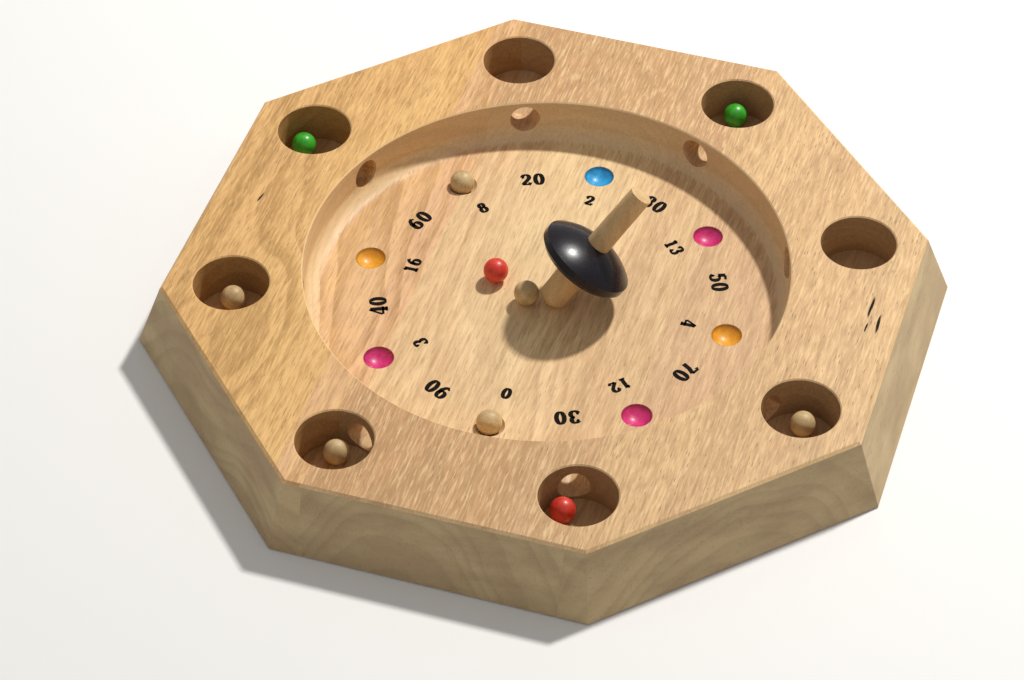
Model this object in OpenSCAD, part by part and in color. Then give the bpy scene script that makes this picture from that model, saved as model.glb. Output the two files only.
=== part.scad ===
// Octagonal table roulette with a round well, eight corner pockets, a spinning top and ten balls.
// Units are millimetres. +Z is up and the origin is the centre of the underside.
// The flats of the octagon are square to X and Y, so the corners lie at 22.5 degrees and every 45 after it.

/* [Board] */
// Width of the underside across the flats
base_flats = 300; // [200:1:400]
// Width of the upper face across the flats
top_flats = 280; // [190:1:390]
// Board thickness
thickness = 28.5; // [20:0.5:45]
// Eased arris along the outer top and bottom edges
arris = 0.7; // [0.2:0.1:2]
// X of the glue joint between the west and middle staves
joint_west = -51; // [-90:1:-20]
// X of the glue joint between the middle and east staves
joint_east = 50; // [20:1:90]

/* [Well] */
// Well diameter at the rim
well_d = 192; // [150:1:220]
// Depth of the well and of the pockets
well_depth = 18.5; // [10:0.5:30]
// Radius of the cove at the foot of the well wall
cove_r = 7; // [2:0.5:10]
// Eased arris around the rim of the well and of each pocket
rim_arris = 0.5; // [0.1:0.1:1.5]

/* [Pockets] */
// Pocket diameter
pocket_d = 30; // [20:0.5:40]
// Radius of the circle the pocket centres lie on
pocket_ring_r = 124; // [105:0.5:135]
// Diameter of the round tunnel bored from the well into each pocket
tunnel_d = 12.5; // [11:0.5:13]
// Height of the tunnel's axis above the well floor, halfway through the wall
tunnel_z = 8.7; // [8.5:0.1:9.5]
// Fall of the tunnel towards the pocket, in degrees
tunnel_fall = 10; // [0:1:12]

/* [Dimples] */
// Radius of the circle the dimple centres lie on
dimple_ring_r = 74; // [60:0.5:80]
// Dimple diameter at the well floor
dimple_d = 12; // [8:0.5:14]
// Dimple depth
dimple_depth = 3.5; // [1:0.1:4]

/* [Balls] */
// Ball diameter
ball_d = 10; // [8:0.5:12]
// Gap left under each ball
ball_gap = 0.06; // [0.02:0.01:0.2]

/* [Top] */
// Lean of the top away from upright, in degrees
top_lean = 37.7; // [0:0.1:50]
// Direction the top leans in, in degrees from +X
top_lean_dir = 32.6; // [-180:0.1:180]
// X of the point where the foot meets the well floor
foot_x = 5.4; // [-60:0.1:60]
// Y of the point where the foot meets the well floor
foot_y = -2.7; // [-60:0.1:60]
// Disc diameter
disc_d = 39; // [30:0.5:48]
// Disc thickness at its centre
disc_t = 12; // [7:0.5:15]
// Height of the disc's rim above its underside
disc_rim_t = 5; // [3:0.5:7]
// Bevel under the rim of the disc
disc_bevel = 2; // [0.5:0.1:2.5]
// Foot diameter where it meets the disc
foot_d = 12.6; // [10:0.5:14]
// Foot diameter at its lower end
foot_end_d = 11.2; // [8:0.5:12]
// Length of the foot below the disc
foot_len = 21.8; // [15:0.1:30]
// Radius of the foot's domed end
foot_dome_r = 6.5; // [6:0.1:9]
// Handle diameter at the disc
handle_d = 9.6; // [7:0.1:10]
// Handle diameter at its upper end
handle_end_d = 9.2; // [6:0.1:10]
// Length of the handle above the underside of the disc
handle_len = 40; // [20:0.5:50]

/* [Hidden] */
floor_z = thickness - well_depth;
to_corner = 1 / cos(22.5);
dimple_r = dimple_d / 2;
dimple_sphere_r = (dimple_r * dimple_r + dimple_depth * dimple_depth) / (2 * dimple_depth);
ball_r = ball_d / 2;
disc_r = disc_d / 2;
dome_h = disc_t - disc_rim_t;
disc_dome_r = (disc_r * disc_r + dome_h * dome_h) / (2 * dome_h);
// Gap for the glue between the disc's bore and the spindle
bond = 0.04;
// How far each tunnel's bore runs on past the wall, into the well and into the pocket
into_well = 6.3;
into_pocket = 2.2;
wood_west = [0.80, 0.60, 0.36];
wood_mid = [0.86, 0.68, 0.45];
wood_east = [0.84, 0.64, 0.44];

// Eight-sided frustum between two heights, sized across its flats.
module octagon(z0, z1, flats0, flats1) {
    translate([0, 0, z0])
        rotate([0, 0, 22.5])
            cylinder(h = z1 - z0, r1 = flats0 / 2 * to_corner, r2 = flats1 / 2 * to_corner, $fn = 8);
}

// Flared octagonal block with eased upper and lower edges.
module block() {
    over = 5;
    span = thickness + 2 * over;
    high = top_flats - 2 * arris;
    low = base_flats - 2 * arris;
    intersection() {
        octagon(0, thickness, base_flats, top_flats);
        octagon(-over, thickness + over, high + 2 * (span - over), high - 2 * over);
        octagon(-over, thickness + over, low - 2 * over, low + 2 * (span - over));
    }
}

// Space of the round well with its cove and eased rim.
module well_space() {
    wr = well_d / 2;
    translate([0, 0, floor_z + cove_r])
        cylinder(h = thickness, r = wr, $fn = 160);
    translate([0, 0, floor_z])
        cylinder(h = thickness, r = wr - cove_r, $fn = 160);
    translate([0, 0, floor_z + cove_r])
        rotate_extrude($fn = 160)
            translate([wr - cove_r, 0])
                circle(r = cove_r, $fn = 48);
    translate([0, 0, thickness - rim_arris])
        cylinder(h = 2 * rim_arris, r1 = wr, r2 = wr + 2 * rim_arris, $fn = 160);
}

// Space of one corner pocket and of the tunnel that joins it to the well.
module pocket_space() {
    pr = pocket_d / 2;
    translate([pocket_ring_r, 0, floor_z])
        cylinder(h = thickness, r = pr, $fn = 72);
    translate([pocket_ring_r, 0, thickness - rim_arris])
        cylinder(h = 2 * rim_arris, r1 = pr, r2 = pr + 2 * rim_arris, $fn = 72);
    wall_in = well_d / 2;
    wall = pocket_ring_r - pr - wall_in;
    translate([wall_in + wall / 2, 0, floor_z + tunnel_z])
        rotate([0, 90 + tunnel_fall, 0])
            translate([0, 0, -wall / 2 - into_well])
                cylinder(h = wall + into_well + into_pocket, r = tunnel_d / 2, $fn = 48);
}

// Round-bottomed dimple in the well floor.
module dimple_space() {
    translate([dimple_ring_r, 0, floor_z - dimple_depth + dimple_sphere_r])
        sphere(r = dimple_sphere_r, $fn = 64);
}

// The whole board before it is divided at its glue joints.
module board() {
    difference() {
        block();
        well_space();
        for (i = [0 : 7])
            rotate([0, 0, 22.5 + 45 * i])
                pocket_space();
        for (i = [0 : 7])
            rotate([0, 0, 45 * i])
                dimple_space();
    }
}

// The part of the board between two X positions.
module stave(x0, x1) {
    intersection() {
        board();
        translate([x0, -base_flats, -5])
            cube([x1 - x0, 2 * base_flats, thickness + 10]);
    }
}

module stave_west() {
    color(wood_west)
        stave(-base_flats, joint_west);
}

module stave_middle() {
    color(wood_mid)
        stave(joint_west, joint_east);
}

module stave_east() {
    color(wood_east)
        stave(joint_east, base_flats);
}

// Puts a shape drawn along +Z, with the centre of its domed foot at the origin, onto the leaning axis.
module on_top_axis() {
    translate([foot_x, foot_y, floor_z + foot_dome_r + ball_gap])
        rotate([0, top_lean, top_lean_dir])
            children();
}

// Black turned disc: bevelled underside, upright rim and domed upper face, bored for the spindle.
module top_disc() {
    color([0.04, 0.03, 0.05])
        on_top_axis()
            translate([0, 0, foot_len - foot_dome_r])
                difference() {
                    intersection() {
                        union() {
                            cylinder(h = disc_bevel, r1 = disc_r - disc_bevel, r2 = disc_r, $fn = 96);
                            translate([0, 0, disc_bevel])
                                cylinder(h = disc_t, r = disc_r, $fn = 96);
                        }
                        translate([0, 0, disc_t - disc_dome_r])
                            sphere(r = disc_dome_r, $fn = 160);
                    }
                    translate([0, 0, -1])
                        cylinder(h = disc_t + 2, r = handle_d / 2 + bond, $fn = 48);
                }
}

// Turned spindle: domed foot, a shoulder the disc sits on, and the handle above it.
module top_spindle() {
    seat = foot_len - foot_dome_r;
    color([0.80, 0.60, 0.36])
        on_top_axis() {
            intersection() {
                translate([0, 0, -foot_dome_r])
                    cylinder(h = foot_len, r1 = foot_end_d / 2, r2 = foot_d / 2, $fn = 64);
                union() {
                    sphere(r = foot_dome_r, $fn = 64);
                    cylinder(h = foot_len, r = foot_d, $fn = 64);
                }
            }
            translate([0, 0, seat])
                cylinder(h = disc_t, r = handle_d / 2, $fn = 48);
            intersection() {
                translate([0, 0, seat + disc_t])
                    cylinder(h = handle_len - disc_t, r1 = handle_d / 2, r2 = handle_end_d / 2, $fn = 48);
                translate([0, 0, seat + handle_len - 2 * handle_end_d])
                    sphere(r = 2 * handle_end_d, $fn = 96);
            }
        }
}

// One ball on a level surface at height z.
module ball(x, y, z, tint) {
    color(tint)
        translate([x, y, z + ball_r + ball_gap])
            sphere(r = ball_r, $fn = 48);
}

// Centre of the pocket at a corner, shifted by a small offset.
function in_pocket(angle, dx, dy) =
    [pocket_ring_r * cos(angle) + dx, pocket_ring_r * sin(angle) + dy];

green = [0.15, 0.55, 0.12];
red = [0.72, 0.13, 0.10];
plain = [0.80, 0.66, 0.42];

module pocket_ball(angle, dx, dy, tint) {
    p = in_pocket(angle, dx, dy);
    ball(p[0], p[1], floor_z, tint);
}

module dimple_ball(angle) {
    x = dimple_ring_r * cos(angle);
    y = dimple_ring_r * sin(angle);
    ball(x, y, floor_z - dimple_depth, plain);
}

module ball_green_1() {
    pocket_ball(157.5, -6.7, 4.0, green);
}

module ball_green_2() {
    pocket_ball(67.5, -2.2, 7.6, green);
}

module ball_red_1() {
    pocket_ball(-67.5, -6.8, 2.9, red);
}

module ball_red_2() {
    ball(-22, 3, floor_z, red);
}

module ball_plain_1() {
    pocket_ball(-157.5, -1.8, 4.8, plain);
}

module ball_plain_2() {
    pocket_ball(-112.5, -1.8, 5.7, plain);
}

module ball_plain_3() {
    pocket_ball(-22.5, 0.5, 4.9, plain);
}

module ball_plain_4() {
    ball(-6.5, -5.7, floor_z, plain);
}

module ball_plain_5() {
    dimple_ball(135);
}

module ball_plain_6() {
    dimple_ball(-90);
}

stave_west();
stave_middle();
stave_east();
top_disc();
top_spindle();
ball_green_1();
ball_green_2();
ball_red_1();
ball_red_2();
ball_plain_1();
ball_plain_2();
ball_plain_3();
ball_plain_4();
ball_plain_5();
ball_plain_6();
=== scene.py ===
import math
import random

import bmesh
import bpy
from mathutils import Matrix, Vector


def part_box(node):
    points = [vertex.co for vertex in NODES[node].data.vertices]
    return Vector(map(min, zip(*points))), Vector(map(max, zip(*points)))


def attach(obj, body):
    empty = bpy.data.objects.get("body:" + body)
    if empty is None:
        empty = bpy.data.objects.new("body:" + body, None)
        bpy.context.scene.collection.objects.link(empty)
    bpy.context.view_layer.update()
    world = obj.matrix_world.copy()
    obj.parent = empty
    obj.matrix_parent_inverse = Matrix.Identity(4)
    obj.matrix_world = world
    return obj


# ---------------------------------------------------------------- frame
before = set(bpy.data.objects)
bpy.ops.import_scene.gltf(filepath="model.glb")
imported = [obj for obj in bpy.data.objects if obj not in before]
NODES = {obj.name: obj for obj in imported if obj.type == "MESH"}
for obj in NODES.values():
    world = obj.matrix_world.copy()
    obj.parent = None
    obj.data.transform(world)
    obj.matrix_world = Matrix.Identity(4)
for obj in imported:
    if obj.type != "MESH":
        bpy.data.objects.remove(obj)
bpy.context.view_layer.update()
MM = 0.001

# Places on the board, in metres, as they are in the frame.
TOP_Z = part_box("stave_middle")[1].z
FLOOR_Z = TOP_Z - 18.5 * MM
DIMPLE_RING = 74 * MM
DIMPLE_R = 6.0 * MM
DIMPLE_DEPTH = 3.5 * MM
DIMPLE_SPHERE = (DIMPLE_R ** 2 + DIMPLE_DEPTH ** 2) / (2 * DIMPLE_DEPTH)

# Heights in millimetres over which the wood changes on its way down to the well floor or up to the
# upper face, and over which the paint in a dimple darkens on its way up to the rim, as painted shade.
TO_FLOOR = (16.0, 11.0)
TO_TOP = (20.0, 27.0)
TO_ARRIS = (26.0, 27.5)
TO_CRACKS = (24.0, 28.0)
TO_POCKET_FLOOR = (14.0, 10.5)
TO_RIM_SHADE = ((FLOOR_Z - 1.5 * MM) / MM, FLOOR_Z / MM)
MID_HEIGHT = 14

# Distances from the board's upright axis in millimetres, over which a change comes in.
INTO_WELL = (98.0, 96.5)
INTO_POCKETS = (100.0, 109.0)
ONTO_POCKET_FLOORS = (108.0, 111.0)
ONTO_SIDES = (136.0, 139.5)

SCENE = bpy.context.scene
SCENE.view_settings.view_transform = "Standard"


# ---------------------------------------------------------------- node helpers
class Mat:
    """A node material with short calls for the nodes used here."""

    def __init__(self, name):
        self.mat = bpy.data.materials.new(name)
        self.mat.use_nodes = True
        self.nt = self.mat.node_tree
        self.nt.nodes.clear()
        out = self.node("ShaderNodeOutputMaterial")
        self.bsdf = self.node("ShaderNodeBsdfPrincipled")
        self.link(self.bsdf.outputs[0], out.inputs["Surface"])
        self.pos = self.node("ShaderNodeTexCoord").outputs["Object"]

    def node(self, kind):
        return self.nt.nodes.new(kind)

    def link(self, a, b):
        self.nt.links.new(a, b)

    def put(self, socket, value):
        if isinstance(value, bpy.types.NodeSocket):
            self.link(value, socket)
        else:
            socket.default_value = value

    def millimetres(self):
        """The place on the object in millimetres."""
        p = self.vec("SCALE", self.pos)
        p.node.inputs["Scale"].default_value = 1000.0
        return p

    def math(self, op, a, b=0.0):
        n = self.node("ShaderNodeMath")
        n.operation = op
        self.put(n.inputs[0], a)
        self.put(n.inputs[1], b)
        return n.outputs[0]

    def add(self, a, b):
        return self.math("ADD", a, b)

    def times(self, a, b):
        return self.math("MULTIPLY", a, b)

    def vec(self, op, a, b=(0, 0, 0)):
        n = self.node("ShaderNodeVectorMath")
        n.operation = op
        self.put(n.inputs[0], a)
        self.put(n.inputs[1], b)
        return n.outputs["Value"] if op == "LENGTH" else n.outputs[0]

    def xyz(self, v):
        n = self.node("ShaderNodeSeparateXYZ")
        self.put(n.inputs[0], v)
        return n.outputs[0], n.outputs[1], n.outputs[2]

    def join(self, x, y, z):
        n = self.node("ShaderNodeCombineXYZ")
        self.put(n.inputs[0], x)
        self.put(n.inputs[1], y)
        self.put(n.inputs[2], z)
        return n.outputs[0]

    def noise(self, v, scale=1.0, detail=3.0, rough=0.5):
        n = self.node("ShaderNodeTexNoise")
        self.put(n.inputs["Vector"], v)
        n.inputs["Scale"].default_value = scale
        n.inputs["Detail"].default_value = detail
        n.inputs["Roughness"].default_value = rough
        return n.outputs[0]

    def cells(self, v, scale=1.0):
        n = self.node("ShaderNodeTexVoronoi")
        self.put(n.inputs["Vector"], v)
        n.inputs["Scale"].default_value = scale
        return n.outputs["Distance"], n.outputs["Color"]

    def span(self, v, a, b, c=0.0, d=1.0):
        """A smooth change from c, where v is a, to d, where v is b."""
        n = self.node("ShaderNodeMapRange")
        n.interpolation_type = "SMOOTHSTEP"
        n.clamp = True
        self.put(n.inputs[0], v)
        for i, x in enumerate((a, b, c, d)):
            self.put(n.inputs[i + 1], x)
        return n.outputs[0]

    def mix(self, t, a, b):
        n = self.node("ShaderNodeMix")
        n.data_type = "RGBA"
        self.put(n.inputs[0], t)
        self.put(n.inputs[6], a if isinstance(a, bpy.types.NodeSocket) else (*a, 1.0))
        self.put(n.inputs[7], b if isinstance(b, bpy.types.NodeSocket) else (*b, 1.0))
        return n.outputs[2]

    def bump(self, height, distance, strength):
        n = self.node("ShaderNodeBump")
        n.inputs["Strength"].default_value = strength
        n.inputs["Distance"].default_value = distance
        self.put(n.inputs["Height"], height)
        return n.outputs[0]

    def finish(self, color, rough, normal=None, **fixed):
        self.put(self.bsdf.inputs["Base Color"], color)
        self.put(self.bsdf.inputs["Roughness"], rough)
        if normal is not None:
            self.put(self.bsdf.inputs["Normal"], normal)
        for k, v in fixed.items():
            self.bsdf.inputs[k.replace("_", " ")].default_value = v
        return self.mat


def shade(color, k):
    """A colour made lighter or darker, and never past full."""
    return tuple(min(c * k, 1.0) for c in color)


# ---------------------------------------------------------------- wood of the staves
# Pale colour of the cove round the well floor: a painted highlight.
COVE_HIGHLIGHT = (0.860, 0.660, 0.400)
# Colours of the outer sides, darker and more olive than the upper face: painted shade.
SIDE_SHADE_PALE = (0.600, 0.455, 0.250)
SIDE_SHADE_DEEP = (0.470, 0.335, 0.185)
SIDE_RING = (0.330, 0.225, 0.115)
SIDE_FIBRE = (0.250, 0.165, 0.085)
SIDE_PORE = (0.160, 0.100, 0.050)
CRACK = (0.010, 0.006, 0.004)
GRIME = (0.25, 0.17, 0.09)


class Stave:
    """Planed hardwood with its grain along Y. Lengths are in millimetres.

    pith is the log's centre as (x, z), and ring is how strongly the growth rings show.
    low and high are (colour, amount) tints at the depth of the well floor and of the upper face.
    swirl is a bulge in the rings as (x, y, width, lift).
    bands are stripes along the grain, each as (x, half width, colour, amount).
    cracks are small splits, each as (x, y, half length, half width, bend).
    """

    def __init__(self, name, seed, pith, light, dark, pink, ring, low, high, swirl=None, bands=(), cracks=()):
        self.m = Mat(name)
        self.p = self.m.millimetres()
        self.x, self.y, self.z = self.m.xyz(self.p)
        self.out = self.m.vec("LENGTH", self.m.join(self.x, self.y, 0.0))
        self.facing = self.m.xyz(self.m.node("ShaderNodeNewGeometry").outputs["Normal"])[2]
        self.seed = seed
        self.light = light
        self.dark = dark
        self.find_rings(pith, swirl)
        base = self.ground(pink, ring, low, high, bands)
        base = self.add_fibres(base)
        base = self.add_cut_faces(base)
        base = self.add_shaded_outer_sides(base)
        base, height = self.add_cracks(base, cracks)
        self.mat = self.finish(base, height)

    def stretched(self, sx, sy, sz):
        """Noise space of this stave, drawn out differently along each axis."""
        off = (self.seed * 37.0, self.seed * 11.0, self.seed * 23.0)
        return self.m.vec("ADD", self.m.vec("MULTIPLY", self.p, (sx, sy, sz)), off)

    def wander(self, space, reach):
        """Slow noise, centred on zero."""
        m = self.m
        return m.times(m.math("SUBTRACT", m.noise(space, 1.0, 2.0), 0.5), reach)

    def find_rings(self, pith, swirl):
        """Growth rings round the pith, drifting slowly along the grain."""
        m = self.m
        drift = self.wander(self.stretched(0.010, 0.006, 0.010), 34.0)
        self.waver = self.wander(self.stretched(0.05, 0.012, 0.05), 5.0)
        dx = m.math("SUBTRACT", self.x, pith[0])
        dz = m.math("SUBTRACT", self.z, pith[1])
        r = m.math("SQRT", m.add(m.times(dx, dx), m.times(dz, dz)))
        r = m.add(m.add(r, drift), self.waver)
        if swirl:
            sx, sy, wide, lift = swirl
            d = m.vec("SUBTRACT", self.p, (sx, sy, MID_HEIGHT))
            d = m.vec("LENGTH", m.vec("MULTIPLY", d, (1.0, 0.34, 0.3)))
            r = m.add(r, m.times(m.span(d, wide, 0.0), lift))
        spacing = m.add(5.0, m.times(m.noise(m.join(r, 0.0, self.seed), 0.045, 1.0), 5.0))
        phase = m.math("FRACT", m.math("DIVIDE", r, spacing))
        self.late = m.times(m.span(phase, 0.30, 0.90), m.span(phase, 1.0, 0.92))
        year = m.join(m.times(r, 0.11), m.times(self.y, 0.002), self.seed * 3.0)
        self.years = m.noise(year, 1.0, 3.0, 0.6)

    def ground(self, pink, ring, low, high, bands):
        """Broad colour changes, long along the grain, with the rings over them."""
        m = self.m
        broad = m.noise(self.stretched(0.022, 0.004, 0.02), 1.0, 3.0, 0.55)
        self.narrow = m.noise(self.stretched(0.07, 0.008, 0.05), 1.0, 3.0, 0.55)
        base = m.mix(m.span(broad, 0.38, 0.62), self.light, pink)
        base = m.mix(m.span(self.z, *TO_FLOOR, 0.0, low[1]), base, low[0])
        base = m.mix(m.span(self.z, *TO_TOP, 0.0, high[1]), base, high[0])
        for at, wide, color, amount in bands:
            u = m.add(m.math("SUBTRACT", self.x, at), m.times(self.waver, 0.8))
            u = m.math("ABSOLUTE", m.math("DIVIDE", u, wide))
            base = m.mix(m.times(m.span(u, 1.1, 0.7), amount), base, color)
        base = m.mix(m.times(m.span(self.years, 0.40, 0.70), 0.30), base, self.dark)
        base = m.mix(m.times(m.span(self.narrow, 0.50, 0.75), 0.25), base, self.dark)
        return m.mix(m.times(self.late, ring), base, shade(self.dark, 0.72))

    def add_fibres(self, base):
        """Streaks, fine fibres, dashes and short pores, all drawn out along the grain."""
        m = self.m
        light = self.light
        dark = self.dark
        bent = m.join(m.times(self.waver, 0.30), 0.0, 0.0)

        def along(wide, long):
            return m.vec("ADD", self.stretched(wide, long, wide), bent)

        streak = m.noise(along(0.42, 0.030), 1.0, 5.0, 0.62)
        base = m.mix(m.span(streak, 0.48, 0.70, 0.0, 0.30), base, shade(dark, 0.78))
        base = m.mix(m.span(streak, 0.48, 0.33, 0.0, 0.25), base, shade(light, 1.16))
        self.fibre = m.noise(along(1.15, 0.085), 1.0, 4.0, 0.62)
        base = m.mix(m.span(self.fibre, 0.48, 0.70, 0.0, 0.42), base, shade(dark, 0.62))
        base = m.mix(m.span(self.fibre, 0.48, 0.32, 0.0, 0.34), base, shade(light, 1.20))
        self.hair = m.noise(self.stretched(5.5, 0.11, 5.5), 1.0, 3.0, 0.6)
        base = m.mix(m.span(self.hair, 0.5, 0.75, 0.0, 0.25), base, shade(dark, 0.5))
        dash = m.noise(along(1.20, 0.13), 1.0, 2.5, 0.60)
        bold = m.span(self.z, *TO_FLOOR, 0.38, 0.22)
        base = m.mix(m.times(m.span(dash, 0.52, 0.66), bold), base, shade(dark, 0.66))
        base = m.mix(m.times(m.span(dash, 0.47, 0.34), bold), base, shade(light, 1.18))
        gap, tint = m.cells(along(1.00, 0.16))
        size = m.noise(self.stretched(0.09, 0.02, 0.09), 1.0, 2.0)
        size = m.span(size, 0.38, 0.62, 0.16, 0.34)
        self.pore = m.times(m.span(gap, size, 0.05), m.span(m.xyz(tint)[0], 0.36, 0.46))
        depth = m.span(self.z, *TO_FLOOR, 0.62, 0.38)
        return m.mix(m.times(self.pore, depth), base, shade(dark, 0.38))

    def add_cut_faces(self, base):
        """Cut faces, with painted light: the cove is paler, a painted highlight; the walls of the pockets and
        tunnels, cut across the grain, and the pocket floors are darker, painted shade in these recesses that
        on the walls also stands for darker cut grain.
        """
        m = self.m
        # painted highlight: the cove round the well floor is made paler
        cove = m.times(m.span(self.facing, 0.985, 0.85), m.span(self.out, *INTO_WELL))
        base = m.mix(m.times(cove, 0.55), base, COVE_HIGHLIGHT)
        # painted shade in the recesses: vertical faces darken from the well wall into the pockets and
        # tunnels, on the walls partly darker cut grain
        recess_wall_shade = m.times(m.span(self.facing, 0.30, 0.05), m.span(self.out, *INTO_POCKETS, 0.12, 0.62))
        base = m.mix(recess_wall_shade, base, shade(self.dark, 0.50))
        # painted shade on the pocket floors
        pocket_floor_shade = m.span(self.out, *ONTO_POCKET_FLOORS, 0.0, 0.35)
        pocket_floor_shade = m.times(m.span(self.z, *TO_POCKET_FLOOR), pocket_floor_shade)
        base = m.mix(pocket_floor_shade, base, shade(self.dark, 0.60))
        # worn arris round the pockets and along the outer edge
        slope = m.times(m.span(self.facing, 0.97, 0.86), m.span(self.facing, 0.58, 0.68))
        worn = m.times(slope, m.span(self.z, *TO_ARRIS))
        patchy = m.span(self.narrow, 0.30, 0.60, 0.15, 0.50)
        return m.mix(m.times(worn, patchy), base, shade(self.light, 1.12))

    def add_shaded_outer_sides(self, base):
        """The flared outer faces are sanded smooth and show the rings as broad soft bands, in a darker, more
        olive tone than the upper face that is painted shade.
        """
        m = self.m
        flare = m.times(m.span(self.facing, 0.14, 0.24), m.span(self.facing, 0.62, 0.46))
        self.side = m.times(flare, m.span(self.out, *ONTO_SIDES))
        cloud = m.noise(self.stretched(0.035, 0.03, 0.09), 1.0, 3.0, 0.55)
        smooth = m.mix(m.span(cloud, 0.35, 0.65), SIDE_SHADE_PALE, SIDE_SHADE_DEEP)
        smooth = m.mix(m.times(self.late, 0.24), smooth, SIDE_RING)
        smooth = m.mix(m.span(self.fibre, 0.52, 0.74, 0.0, 0.22), smooth, SIDE_FIBRE)
        smooth = m.mix(m.times(self.pore, 0.28), smooth, SIDE_PORE)
        # painted shade: the outer sides take the darker side colour
        return m.mix(m.times(self.side, 0.92), base, smooth)

    def add_cracks(self, base, cracks):
        """Small dark splits in the upper face. Returns the colour and the height of the surface."""
        m = self.m
        height = m.add(m.times(self.fibre, 0.6), m.times(self.pore, -1.0))
        height = m.add(height, m.times(self.late, -0.25))
        self.gape = 0.0
        for cx, cy, length, width, bend in cracks:
            u = m.math("SUBTRACT", self.x, cx)
            v = m.math("SUBTRACT", self.y, cy)
            u = m.math("SUBTRACT", u, m.times(m.math("SINE", m.times(v, 0.55)), bend))
            u = m.add(u, m.times(m.math("SUBTRACT", self.hair, 0.5), 1.1))
            e = m.vec("LENGTH", m.join(m.math("DIVIDE", u, width), m.math("DIVIDE", v, length), 0.0))
            mark = m.times(m.span(e, 1.0, 0.55), m.span(self.z, *TO_CRACKS))
            base = m.mix(mark, base, CRACK)
            height = m.add(height, m.times(mark, -1.0))
            self.gape = m.math("MAXIMUM", self.gape, mark)
        return base, height

    def finish(self, base, height):
        """Handling grime in soft patches, and a satin film that lies unevenly over the fibres."""
        m = self.m
        grime = m.noise(self.stretched(0.03, 0.02, 0.03), 1.0, 4.0, 0.6)
        base = m.mix(m.span(grime, 0.56, 0.82, 0.0, 0.16), base, GRIME)
        rough = m.add(0.40, m.times(self.fibre, 0.14))
        rough = m.add(rough, m.times(self.side, 0.15))
        rough = m.add(rough, m.times(self.pore, 0.2))
        rough = m.add(rough, m.times(self.gape, 0.5))
        normal = m.bump(height, 0.00012, 0.6)
        return m.finish(base, rough, normal, Specular_IOR_Level=0.34, Coat_Weight=0.05, Coat_Roughness=0.3)


WOOD = {
    "stave_west": Stave(
        "wood_west", 1.0, pith=(-84, -30),
        light=(0.860, 0.540, 0.225), dark=(0.560, 0.290, 0.085), pink=(0.780, 0.455, 0.200), ring=0.50,
        low=((0.900, 0.600, 0.360), 0.60), high=((0.790, 0.480, 0.175), 0.30),
        swirl=(-98, -66, 36, 19), bands=[(-57.5, 6.5, (0.800, 0.480, 0.300), 0.62)],
        cracks=[(-121, 2, 3.5, 0.5, 0.3), (-119, -46, 2.5, 0.4, 0.2)],
    ),
    "stave_middle": Stave(
        "wood_middle", 2.0, pith=(-12, -21),
        light=(0.880, 0.640, 0.350), dark=(0.580, 0.340, 0.150), pink=(0.830, 0.520, 0.290), ring=0.26,
        low=((0.920, 0.670, 0.370), 0.45), high=((0.580, 0.310, 0.140), 0.85),
        bands=[(38.0, 15.0, (0.600, 0.360, 0.185), 0.50)],
    ),
    "stave_east": Stave(
        "wood_east", 3.0, pith=(104, -26),
        light=(0.840, 0.590, 0.320), dark=(0.570, 0.335, 0.155), pink=(0.790, 0.500, 0.285), ring=0.28,
        low=((0.660, 0.415, 0.235), 0.78), high=((0.700, 0.430, 0.190), 0.75),
        cracks=[(127.6, 13.2, 7.6, 0.72, 0.12), (132.2, 4.8, 6.4, 0.78, -0.12), (128.2, 1.6, 3.2, 0.50, 0.1)],
    ),
}


# ---------------------------------------------------------------- small pieces' finishes
def round_wood(name, light, dark, gloss, stripe_axis):
    """Turned wood for small pieces: fine straight fibre and darker flecks."""
    m = Mat(name)
    p = m.millimetres()
    long = m.vec("MULTIPLY", p, tuple(0.10 if i == stripe_axis else 1.0 for i in range(3)))
    short = m.vec("MULTIPLY", p, tuple(0.22 if i == stripe_axis else 1.4 for i in range(3)))
    fibre = m.noise(long, 2.6, 4.0, 0.6)
    broad = m.noise(long, 0.35, 3.0, 0.5)
    fleck, tint = m.cells(short, 1.2)
    fleck = m.times(m.span(fleck, 0.24, 0.06), m.span(m.xyz(tint)[0], 0.5, 0.6))
    c = m.mix(m.span(broad, 0.30, 0.75), light, dark)
    c = m.mix(m.span(fibre, 0.42, 0.72, 0.0, 0.42), c, shade(dark, 0.6))
    c = m.mix(m.times(fleck, 0.5), c, shade(dark, 0.35))
    height = m.add(m.times(fibre, 0.6), m.times(fleck, -0.8))
    rough = m.add(gloss, m.times(fibre, 0.16))
    return m.finish(c, rough, m.bump(height, 0.00006, 0.5), Specular_IOR_Level=0.4)


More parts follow.
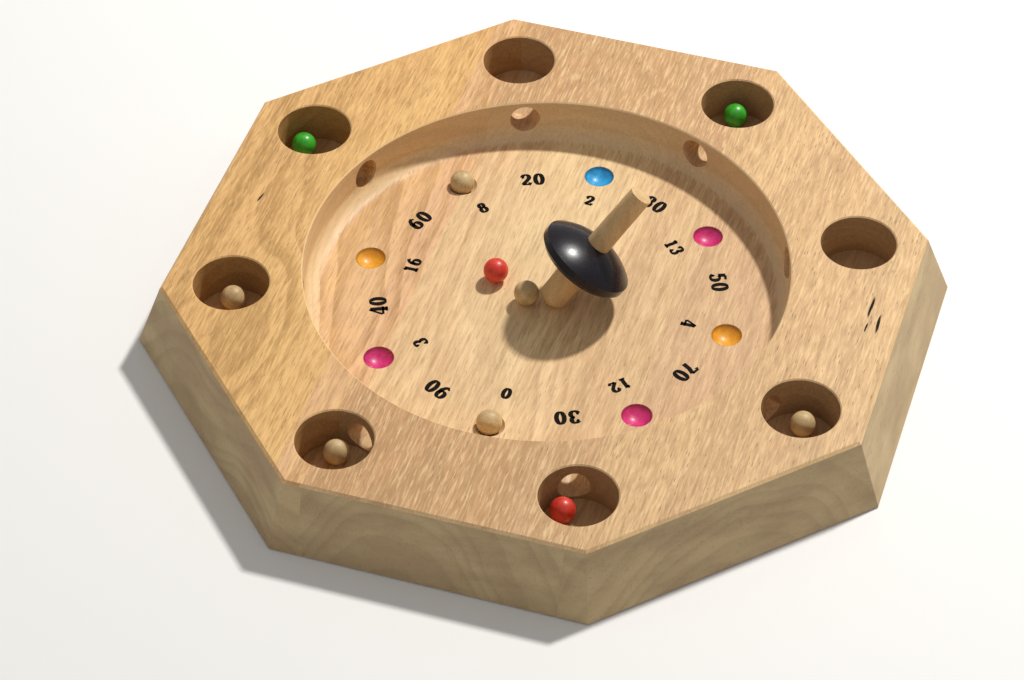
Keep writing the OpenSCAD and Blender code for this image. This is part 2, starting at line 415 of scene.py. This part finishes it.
def paint(name, color, deep, rough, wear=0.18, coat=0.0, spec=0.5, rim=None):
    """Brushed or dipped paint over wood: uneven film, dust specks and thin spots.
    rim is a pair of heights in millimetres between which the colour darkens towards a dimple's rim: painted
    shade, with a dark outline of the paint."""
    m = Mat(name)
    p = m.millimetres()
    film = m.noise(p, 0.38, 4.0, 0.6)
    fine = m.noise(m.vec("MULTIPLY", p, (1.0, 0.25, 1.0)), 3.2, 3.0, 0.6)
    speck, tint = m.cells(p, 1.3)
    speck = m.times(m.span(speck, 0.16, 0.05), m.span(m.xyz(tint)[0], 0.78, 0.84))
    c = m.mix(m.span(film, 0.32, 0.70), color, deep)
    thin = tuple(min(1.0, v * 1.6 + 0.05) for v in color)
    c = m.mix(m.span(fine, 0.56, 0.78, 0.0, wear), c, thin)
    c = m.mix(m.times(speck, 0.5), c, shade(deep, 0.4))
    if rim:
        # painted shade: the paint darkens towards the dimple's rim
        c = m.mix(m.span(m.xyz(p)[2], rim[0], rim[1], 0.0, 0.72), c, shade(deep, 0.32))
    height = m.add(m.times(film, 0.8), m.times(fine, 0.35))
    height = m.add(height, m.times(speck, 0.5))
    return m.finish(c, m.add(rough, m.times(fine, 0.14)), m.bump(height, 0.00008, 0.4),
                    Coat_Weight=coat, Coat_Roughness=0.12, Specular_IOR_Level=spec)


def dimple_film(name, color, deep):
    """Half-gloss paint in a dimple, darkened towards the rim: painted shade, with a dark outline of the
    paint.
    """
    return paint(name, color, deep, 0.34, wear=0.3, coat=0.07, rim=TO_RIM_SHADE)


# The plain balls come in three turns of the grain: along X, Y or Z.
PLAIN = [round_wood("ball_plain_%d" % (i + 1), (0.70, 0.52, 0.27), (0.52, 0.35, 0.16), 0.40, i)
         for i in range(3)]
SPINDLE = round_wood("spindle_wood", (0.74, 0.50, 0.25), (0.62, 0.40, 0.18), 0.45, 2)
GREEN = paint("ball_green", (0.050, 0.470, 0.030), (0.028, 0.330, 0.018), 0.30, coat=0.2)
RED = paint("ball_red", (0.780, 0.055, 0.032), (0.600, 0.032, 0.018), 0.34, coat=0.15)
LACQUER = paint("black_lacquer", (0.010, 0.007, 0.014), (0.005, 0.004, 0.007), 0.22,
                wear=0.03, coat=0.15, spec=0.30)
INK = paint("number_ink", (0.008, 0.006, 0.005), (0.004, 0.003, 0.003), 0.7, wear=0.06, spec=0.1)
DOT_BLUE = dimple_film("dimple_blue", (0.036, 0.420, 0.780), (0.020, 0.270, 0.560))
DOT_PINK = dimple_film("dimple_pink", (0.740, 0.040, 0.225), (0.540, 0.022, 0.140))
DOT_ORANGE = dimple_film("dimple_orange", (0.860, 0.410, 0.030), (0.730, 0.300, 0.018))


def dress(name, material):
    o = NODES[name]
    o.data.materials.clear()
    o.data.materials.append(material)


for n, stave in WOOD.items():
    dress(n, stave.mat)
dress("top_disc", LACQUER)
dress("top_spindle", SPINDLE)
for n in NODES:
    if n.startswith("ball_green"):
        dress(n, GREEN)
    if n.startswith("ball_red"):
        dress(n, RED)
    if n.startswith("ball_plain"):
        dress(n, PLAIN[int(n[-1]) % 3])


# ---------------------------------------------------------------- added pieces
def mesh_object(name, bm, material):
    me = bpy.data.meshes.new(name)
    bm.to_mesh(me)
    bm.free()
    me.materials.append(material)
    o = bpy.data.objects.new(name, me)
    SCENE.collection.objects.link(o)
    return o


PAINT_FILM = 0.04 * MM
PAINT_SEGMENTS = 72
PAINT_RINGS = [0.18, 0.36, 0.54, 0.70, 0.84, 0.94, 0.985]


def dimple_paint(name, angle, material, seed):
    """A skin of paint lying in a dimple, with a hand-brushed edge just past its rim."""
    rnd = random.Random(seed)
    waves = [(k, rnd.uniform(-1, 1), rnd.uniform(0, math.tau)) for k in (2, 3, 5, 8, 13)]
    bm = bmesh.new()
    cx = DIMPLE_RING * math.cos(angle)
    cy = DIMPLE_RING * math.sin(angle)
    sphere = DIMPLE_SPHERE - PAINT_FILM
    cz = FLOOR_Z - DIMPLE_DEPTH + DIMPLE_SPHERE
    turns = [math.tau * i / PAINT_SEGMENTS for i in range(PAINT_SEGMENTS)]
    centre = bm.verts.new((cx, cy, cz - sphere))
    loops = []
    for t in PAINT_RINGS:
        r = DIMPLE_R * t
        z = cz - math.sqrt(sphere * sphere - r * r)
        loops.append([bm.verts.new((cx + r * math.cos(a), cy + r * math.sin(a), z)) for a in turns])
    edge = []
    for a in turns:
        w = sum(amp * math.sin(k * a + ph) for k, amp, ph in waves) / len(waves)
        r = DIMPLE_R + (0.10 + 0.16 * w) * MM
        edge.append(bm.verts.new((cx + r * math.cos(a), cy + r * math.sin(a), FLOOR_Z + PAINT_FILM)))
    loops.append(edge)
    for i in range(PAINT_SEGMENTS):
        bm.faces.new((centre, loops[0][i], loops[0][(i + 1) % PAINT_SEGMENTS]))
    for a, b in zip(loops, loops[1:]):
        for i in range(PAINT_SEGMENTS):
            j = (i + 1) % PAINT_SEGMENTS
            bm.faces.new((a[i], b[i], b[j], a[j]))
    for f in bm.faces:
        f.smooth = True
    o = mesh_object(name, bm, material)
    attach(o, "board")


DOTS = [("blue", 90, DOT_BLUE), ("pink", 45, DOT_PINK), ("orange", 0, DOT_ORANGE), ("pink", -45, DOT_PINK),
        ("pink", -135, DOT_PINK), ("orange", 180, DOT_ORANGE)]
for i, (word, deg, material) in enumerate(DOTS):
    dimple_paint("dimple_paint_%s_%d" % (word, i + 1), math.radians(deg), material, 40 + i)


def arc(cx, cy, rx, ry, a0, a1, n=14):
    """Points along part of an ellipse, from a0 to a1 degrees."""
    turns = [math.radians(a0 + (a1 - a0) * i / n) for i in range(n + 1)]
    return [(cx + rx * math.cos(t), cy + ry * math.sin(t)) for t in turns]


# Each digit has the centre lines of its strokes, in a box about 0.62 wide and 1 high, and its round
# terminals as (x, y, radius).
GLYPHS = {
    "0": ([arc(0.31, 0.5, 0.22, 0.43, 90, 450, 32)], []),
    "1": ([[(0.08, 0.80), (0.20, 0.84), (0.30, 0.93)], [(0.31, 0.93), (0.31, 0.05)],
           [(0.10, 0.05), (0.52, 0.05)]], []),
    "2": ([arc(0.30, 0.70, 0.21, 0.23, 175, -30) + [(0.34, 0.40), (0.16, 0.20), (0.09, 0.08)],
           [(0.09, 0.09), (0.30, 0.11), (0.50, 0.09), (0.54, 0.26)]], [(0.12, 0.69, 0.085)]),
    "3": ([arc(0.27, 0.72, 0.20, 0.21, 165, -90), arc(0.27, 0.28, 0.23, 0.23, 90, -165)],
          [(0.10, 0.74, 0.085), (0.09, 0.25, 0.085)]),
    "4": ([[(0.45, 0.00), (0.45, 0.97)], [(0.00, 0.25), (0.64, 0.25)], [(0.27, 0.03), (0.62, 0.03)],
           [(0.46, 0.96), (0.42, 0.96), (0.40, 0.92)]], []),
    "5": ([[(0.14, 0.93), (0.50, 0.90)], [(0.13, 0.93), (0.11, 0.52)],
           arc(0.28, 0.32, 0.24, 0.27, 130, -160)], [(0.10, 0.24, 0.085)]),
    "6": ([arc(0.30, 0.30, 0.21, 0.26, 0, 360, 28), [(0.10, 0.36), (0.12, 0.62), (0.24, 0.84), (0.44, 0.94)]],
          [(0.47, 0.84, 0.07)]),
    "7": ([[(0.08, 0.76), (0.10, 0.91), (0.54, 0.91)], [(0.54, 0.90), (0.36, 0.50), (0.28, 0.05)]], []),
    "8": ([arc(0.31, 0.73, 0.17, 0.20, 0, 360, 26), arc(0.31, 0.28, 0.21, 0.24, 0, 360, 28)], []),
    "9": ([arc(0.32, 0.70, 0.21, 0.26, 0, 360, 28), [(0.52, 0.64), (0.50, 0.38), (0.38, 0.16), (0.18, 0.06)]],
          [(0.15, 0.16, 0.07)]),
}
# The slanting hairline of the four, drawn with the thin pen all the way.
HAIRLINES = {"4": [[(0.38, 0.95), (0.00, 0.28)]]}
GLYPH_STEP = 0.76
GLYPH_MIDDLE = 0.31
NARROW = 0.96
PEN_POWER = 1.3
DOT_SEGMENTS = 18
INK_FILM = 0.03 * MM
# The print sits slightly off the board's centre.
PRINT_X = 0.76 * MM
PRINT_Y = 1.31 * MM


def ribbon(bm, line, thin, wide, place):
    """A pen stroke along a centre line, thin where it runs level and wide where it runs upright."""
    closed = math.dist(line[0], line[-1]) < 1e-6
    near = []
    far = []
    for i, (px, py) in enumerate(line):
        before = line[i - 1] if i else (line[-2] if closed else line[0])
        after = line[i + 1] if i + 1 < len(line) else (line[1] if closed else line[-1])
        dx = after[0] - before[0]
        dy = after[1] - before[1]
        length = math.hypot(dx, dy) or 1.0
        dx /= length
        dy /= length
        w = (thin + (wide - thin) * abs(dy) ** PEN_POWER) / 2
        near.append(bm.verts.new(place(px - dy * w, py + dx * w)))
        far.append(bm.verts.new(place(px + dy * w, py - dx * w)))
    for i in range(len(line) - 1):
        bm.faces.new((near[i], far[i], far[i + 1], near[i + 1]))


def number(bm, text, ring_r, deg, size, thin, thick):
    """Flat printed digits on the well floor, with their heads outward."""
    a = math.radians(deg)
    up = Vector((math.cos(a), math.sin(a), 0))
    right = Vector((math.sin(a), -math.cos(a), 0))
    middle = up * ring_r + Vector((PRINT_X, PRINT_Y, FLOOR_Z + INK_FILM))
    for k, ch in enumerate(text):
        shift = GLYPH_STEP * (k - len(text) / 2)

        def place(px, py):
            px = GLYPH_MIDDLE + (px - GLYPH_MIDDLE) * NARROW
            return middle + right * ((px + shift) * size) + up * ((py - 0.5) * size)

        strokes, dots = GLYPHS[ch]
        for line in strokes:
            ribbon(bm, line, thin, thick, place)
        for line in HAIRLINES.get(ch, []):
            ribbon(bm, line, thin, thin, place)
        for px, py, rr in dots:
            turns = [t * math.tau / DOT_SEGMENTS for t in range(DOT_SEGMENTS)]
            bm.faces.new([bm.verts.new(place(px + rr * math.cos(t), py + rr * math.sin(t))) for t in turns])


OUTER = [("20", 112.5), ("80", 67.5), ("50", 22.5), ("70", -22.5),
         ("30", -67.5), ("90", -112.5), ("40", -157.5), ("60", 157.5)]
INNER = [("8", 135), ("2", 90), ("13", 45), ("4", 0), ("12", -45), ("0", -90), ("3", -135), ("16", 180)]
bm = bmesh.new()
for text, deg in OUTER:
    number(bm, text, 68.1 * MM, deg, 7.0 * MM, 0.140, 0.285)
for text, deg in INNER:
    number(bm, text, 57.4 * MM, deg, 5.8 * MM, 0.160, 0.300)
for f in bm.faces:
    f.normal_update()
    if f.normal.z < 0:
        f.normal_flip()
numbers = mesh_object("printed_numbers", bm, INK)
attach(numbers, "board")

# ---------------------------------------------------------------- floor, light, camera
FLOOR_HALF = 6.0
FLOOR_CELLS = 12
FLOOR_DROP = 0.0002
floor_mat = Mat("studio_floor")
speckle = floor_mat.noise(floor_mat.pos, 9.0, 3.0)
floor_mat.finish(floor_mat.mix(speckle, (0.93, 0.93, 0.925), (0.95, 0.95, 0.945)), 0.85)
bm = bmesh.new()
steps = [-FLOOR_HALF + 2 * FLOOR_HALF * i / FLOOR_CELLS for i in range(FLOOR_CELLS + 1)]
grid = [[bm.verts.new((x, y, -FLOOR_DROP)) for y in steps] for x in steps]
for i in range(FLOOR_CELLS):
    for j in range(FLOOR_CELLS):
        bm.faces.new((grid[i][j], grid[i + 1][j], grid[i + 1][j + 1], grid[i][j + 1]))
floor = mesh_object("studio_floor", bm, floor_mat.mat)

world = bpy.data.worlds.new("studio")
SCENE.world = world
world.use_nodes = True
background = world.node_tree.nodes["Background"]
background.inputs["Color"].default_value = (1.0, 0.985, 0.96, 1.0)
background.inputs["Strength"].default_value = 0.34


def lamp(name, azimuth, elevation, distance, size, energy, color):
    """A square soft light aimed at the board. azimuth is counted from +X."""
    data = bpy.data.lights.new(name, "AREA")
    data.shape = "SQUARE"
    data.size = size
    data.energy = energy
    data.color = color
    o = bpy.data.objects.new(name, data)
    a = math.radians(azimuth)
    e = math.radians(elevation)
    o.location = Vector((math.cos(a) * math.cos(e), math.sin(a) * math.cos(e), math.sin(e))) * distance
    o.rotation_euler = o.location.to_track_quat("Z", "Y").to_euler()
    SCENE.collection.objects.link(o)


lamp("key", azimuth=67, elevation=53, distance=1.7, size=0.11, energy=27.0, color=(1.0, 0.975, 0.93))

# The camera: azimuth is counted from straight in front (-Y), elevation up from the table.
AZIMUTH = math.radians(17.89)
ELEVATION = math.radians(45.05)
ROLL = math.radians(-0.45)
CAMERA_AT = (0.26566, -0.86802, 0.89457)
back = Vector((math.sin(AZIMUTH) * math.cos(ELEVATION), -math.cos(AZIMUTH) * math.cos(ELEVATION),
               math.sin(ELEVATION)))
right = Vector((math.cos(AZIMUTH), math.sin(AZIMUTH), 0))
up = back.cross(right)
rolled_right = right * math.cos(ROLL) + up * math.sin(ROLL)
rolled_up = up * math.cos(ROLL) - right * math.sin(ROLL)
cam_data = bpy.data.cameras.new("camera")
cam_data.lens = 112.1
cam_data.sensor_width = 36.0
cam = bpy.data.objects.new("camera", cam_data)
turn = Matrix((rolled_right, rolled_up, back)).transposed().to_4x4()
cam.matrix_world = Matrix.Translation(CAMERA_AT) @ turn
SCENE.collection.objects.link(cam)
SCENE.camera = cam

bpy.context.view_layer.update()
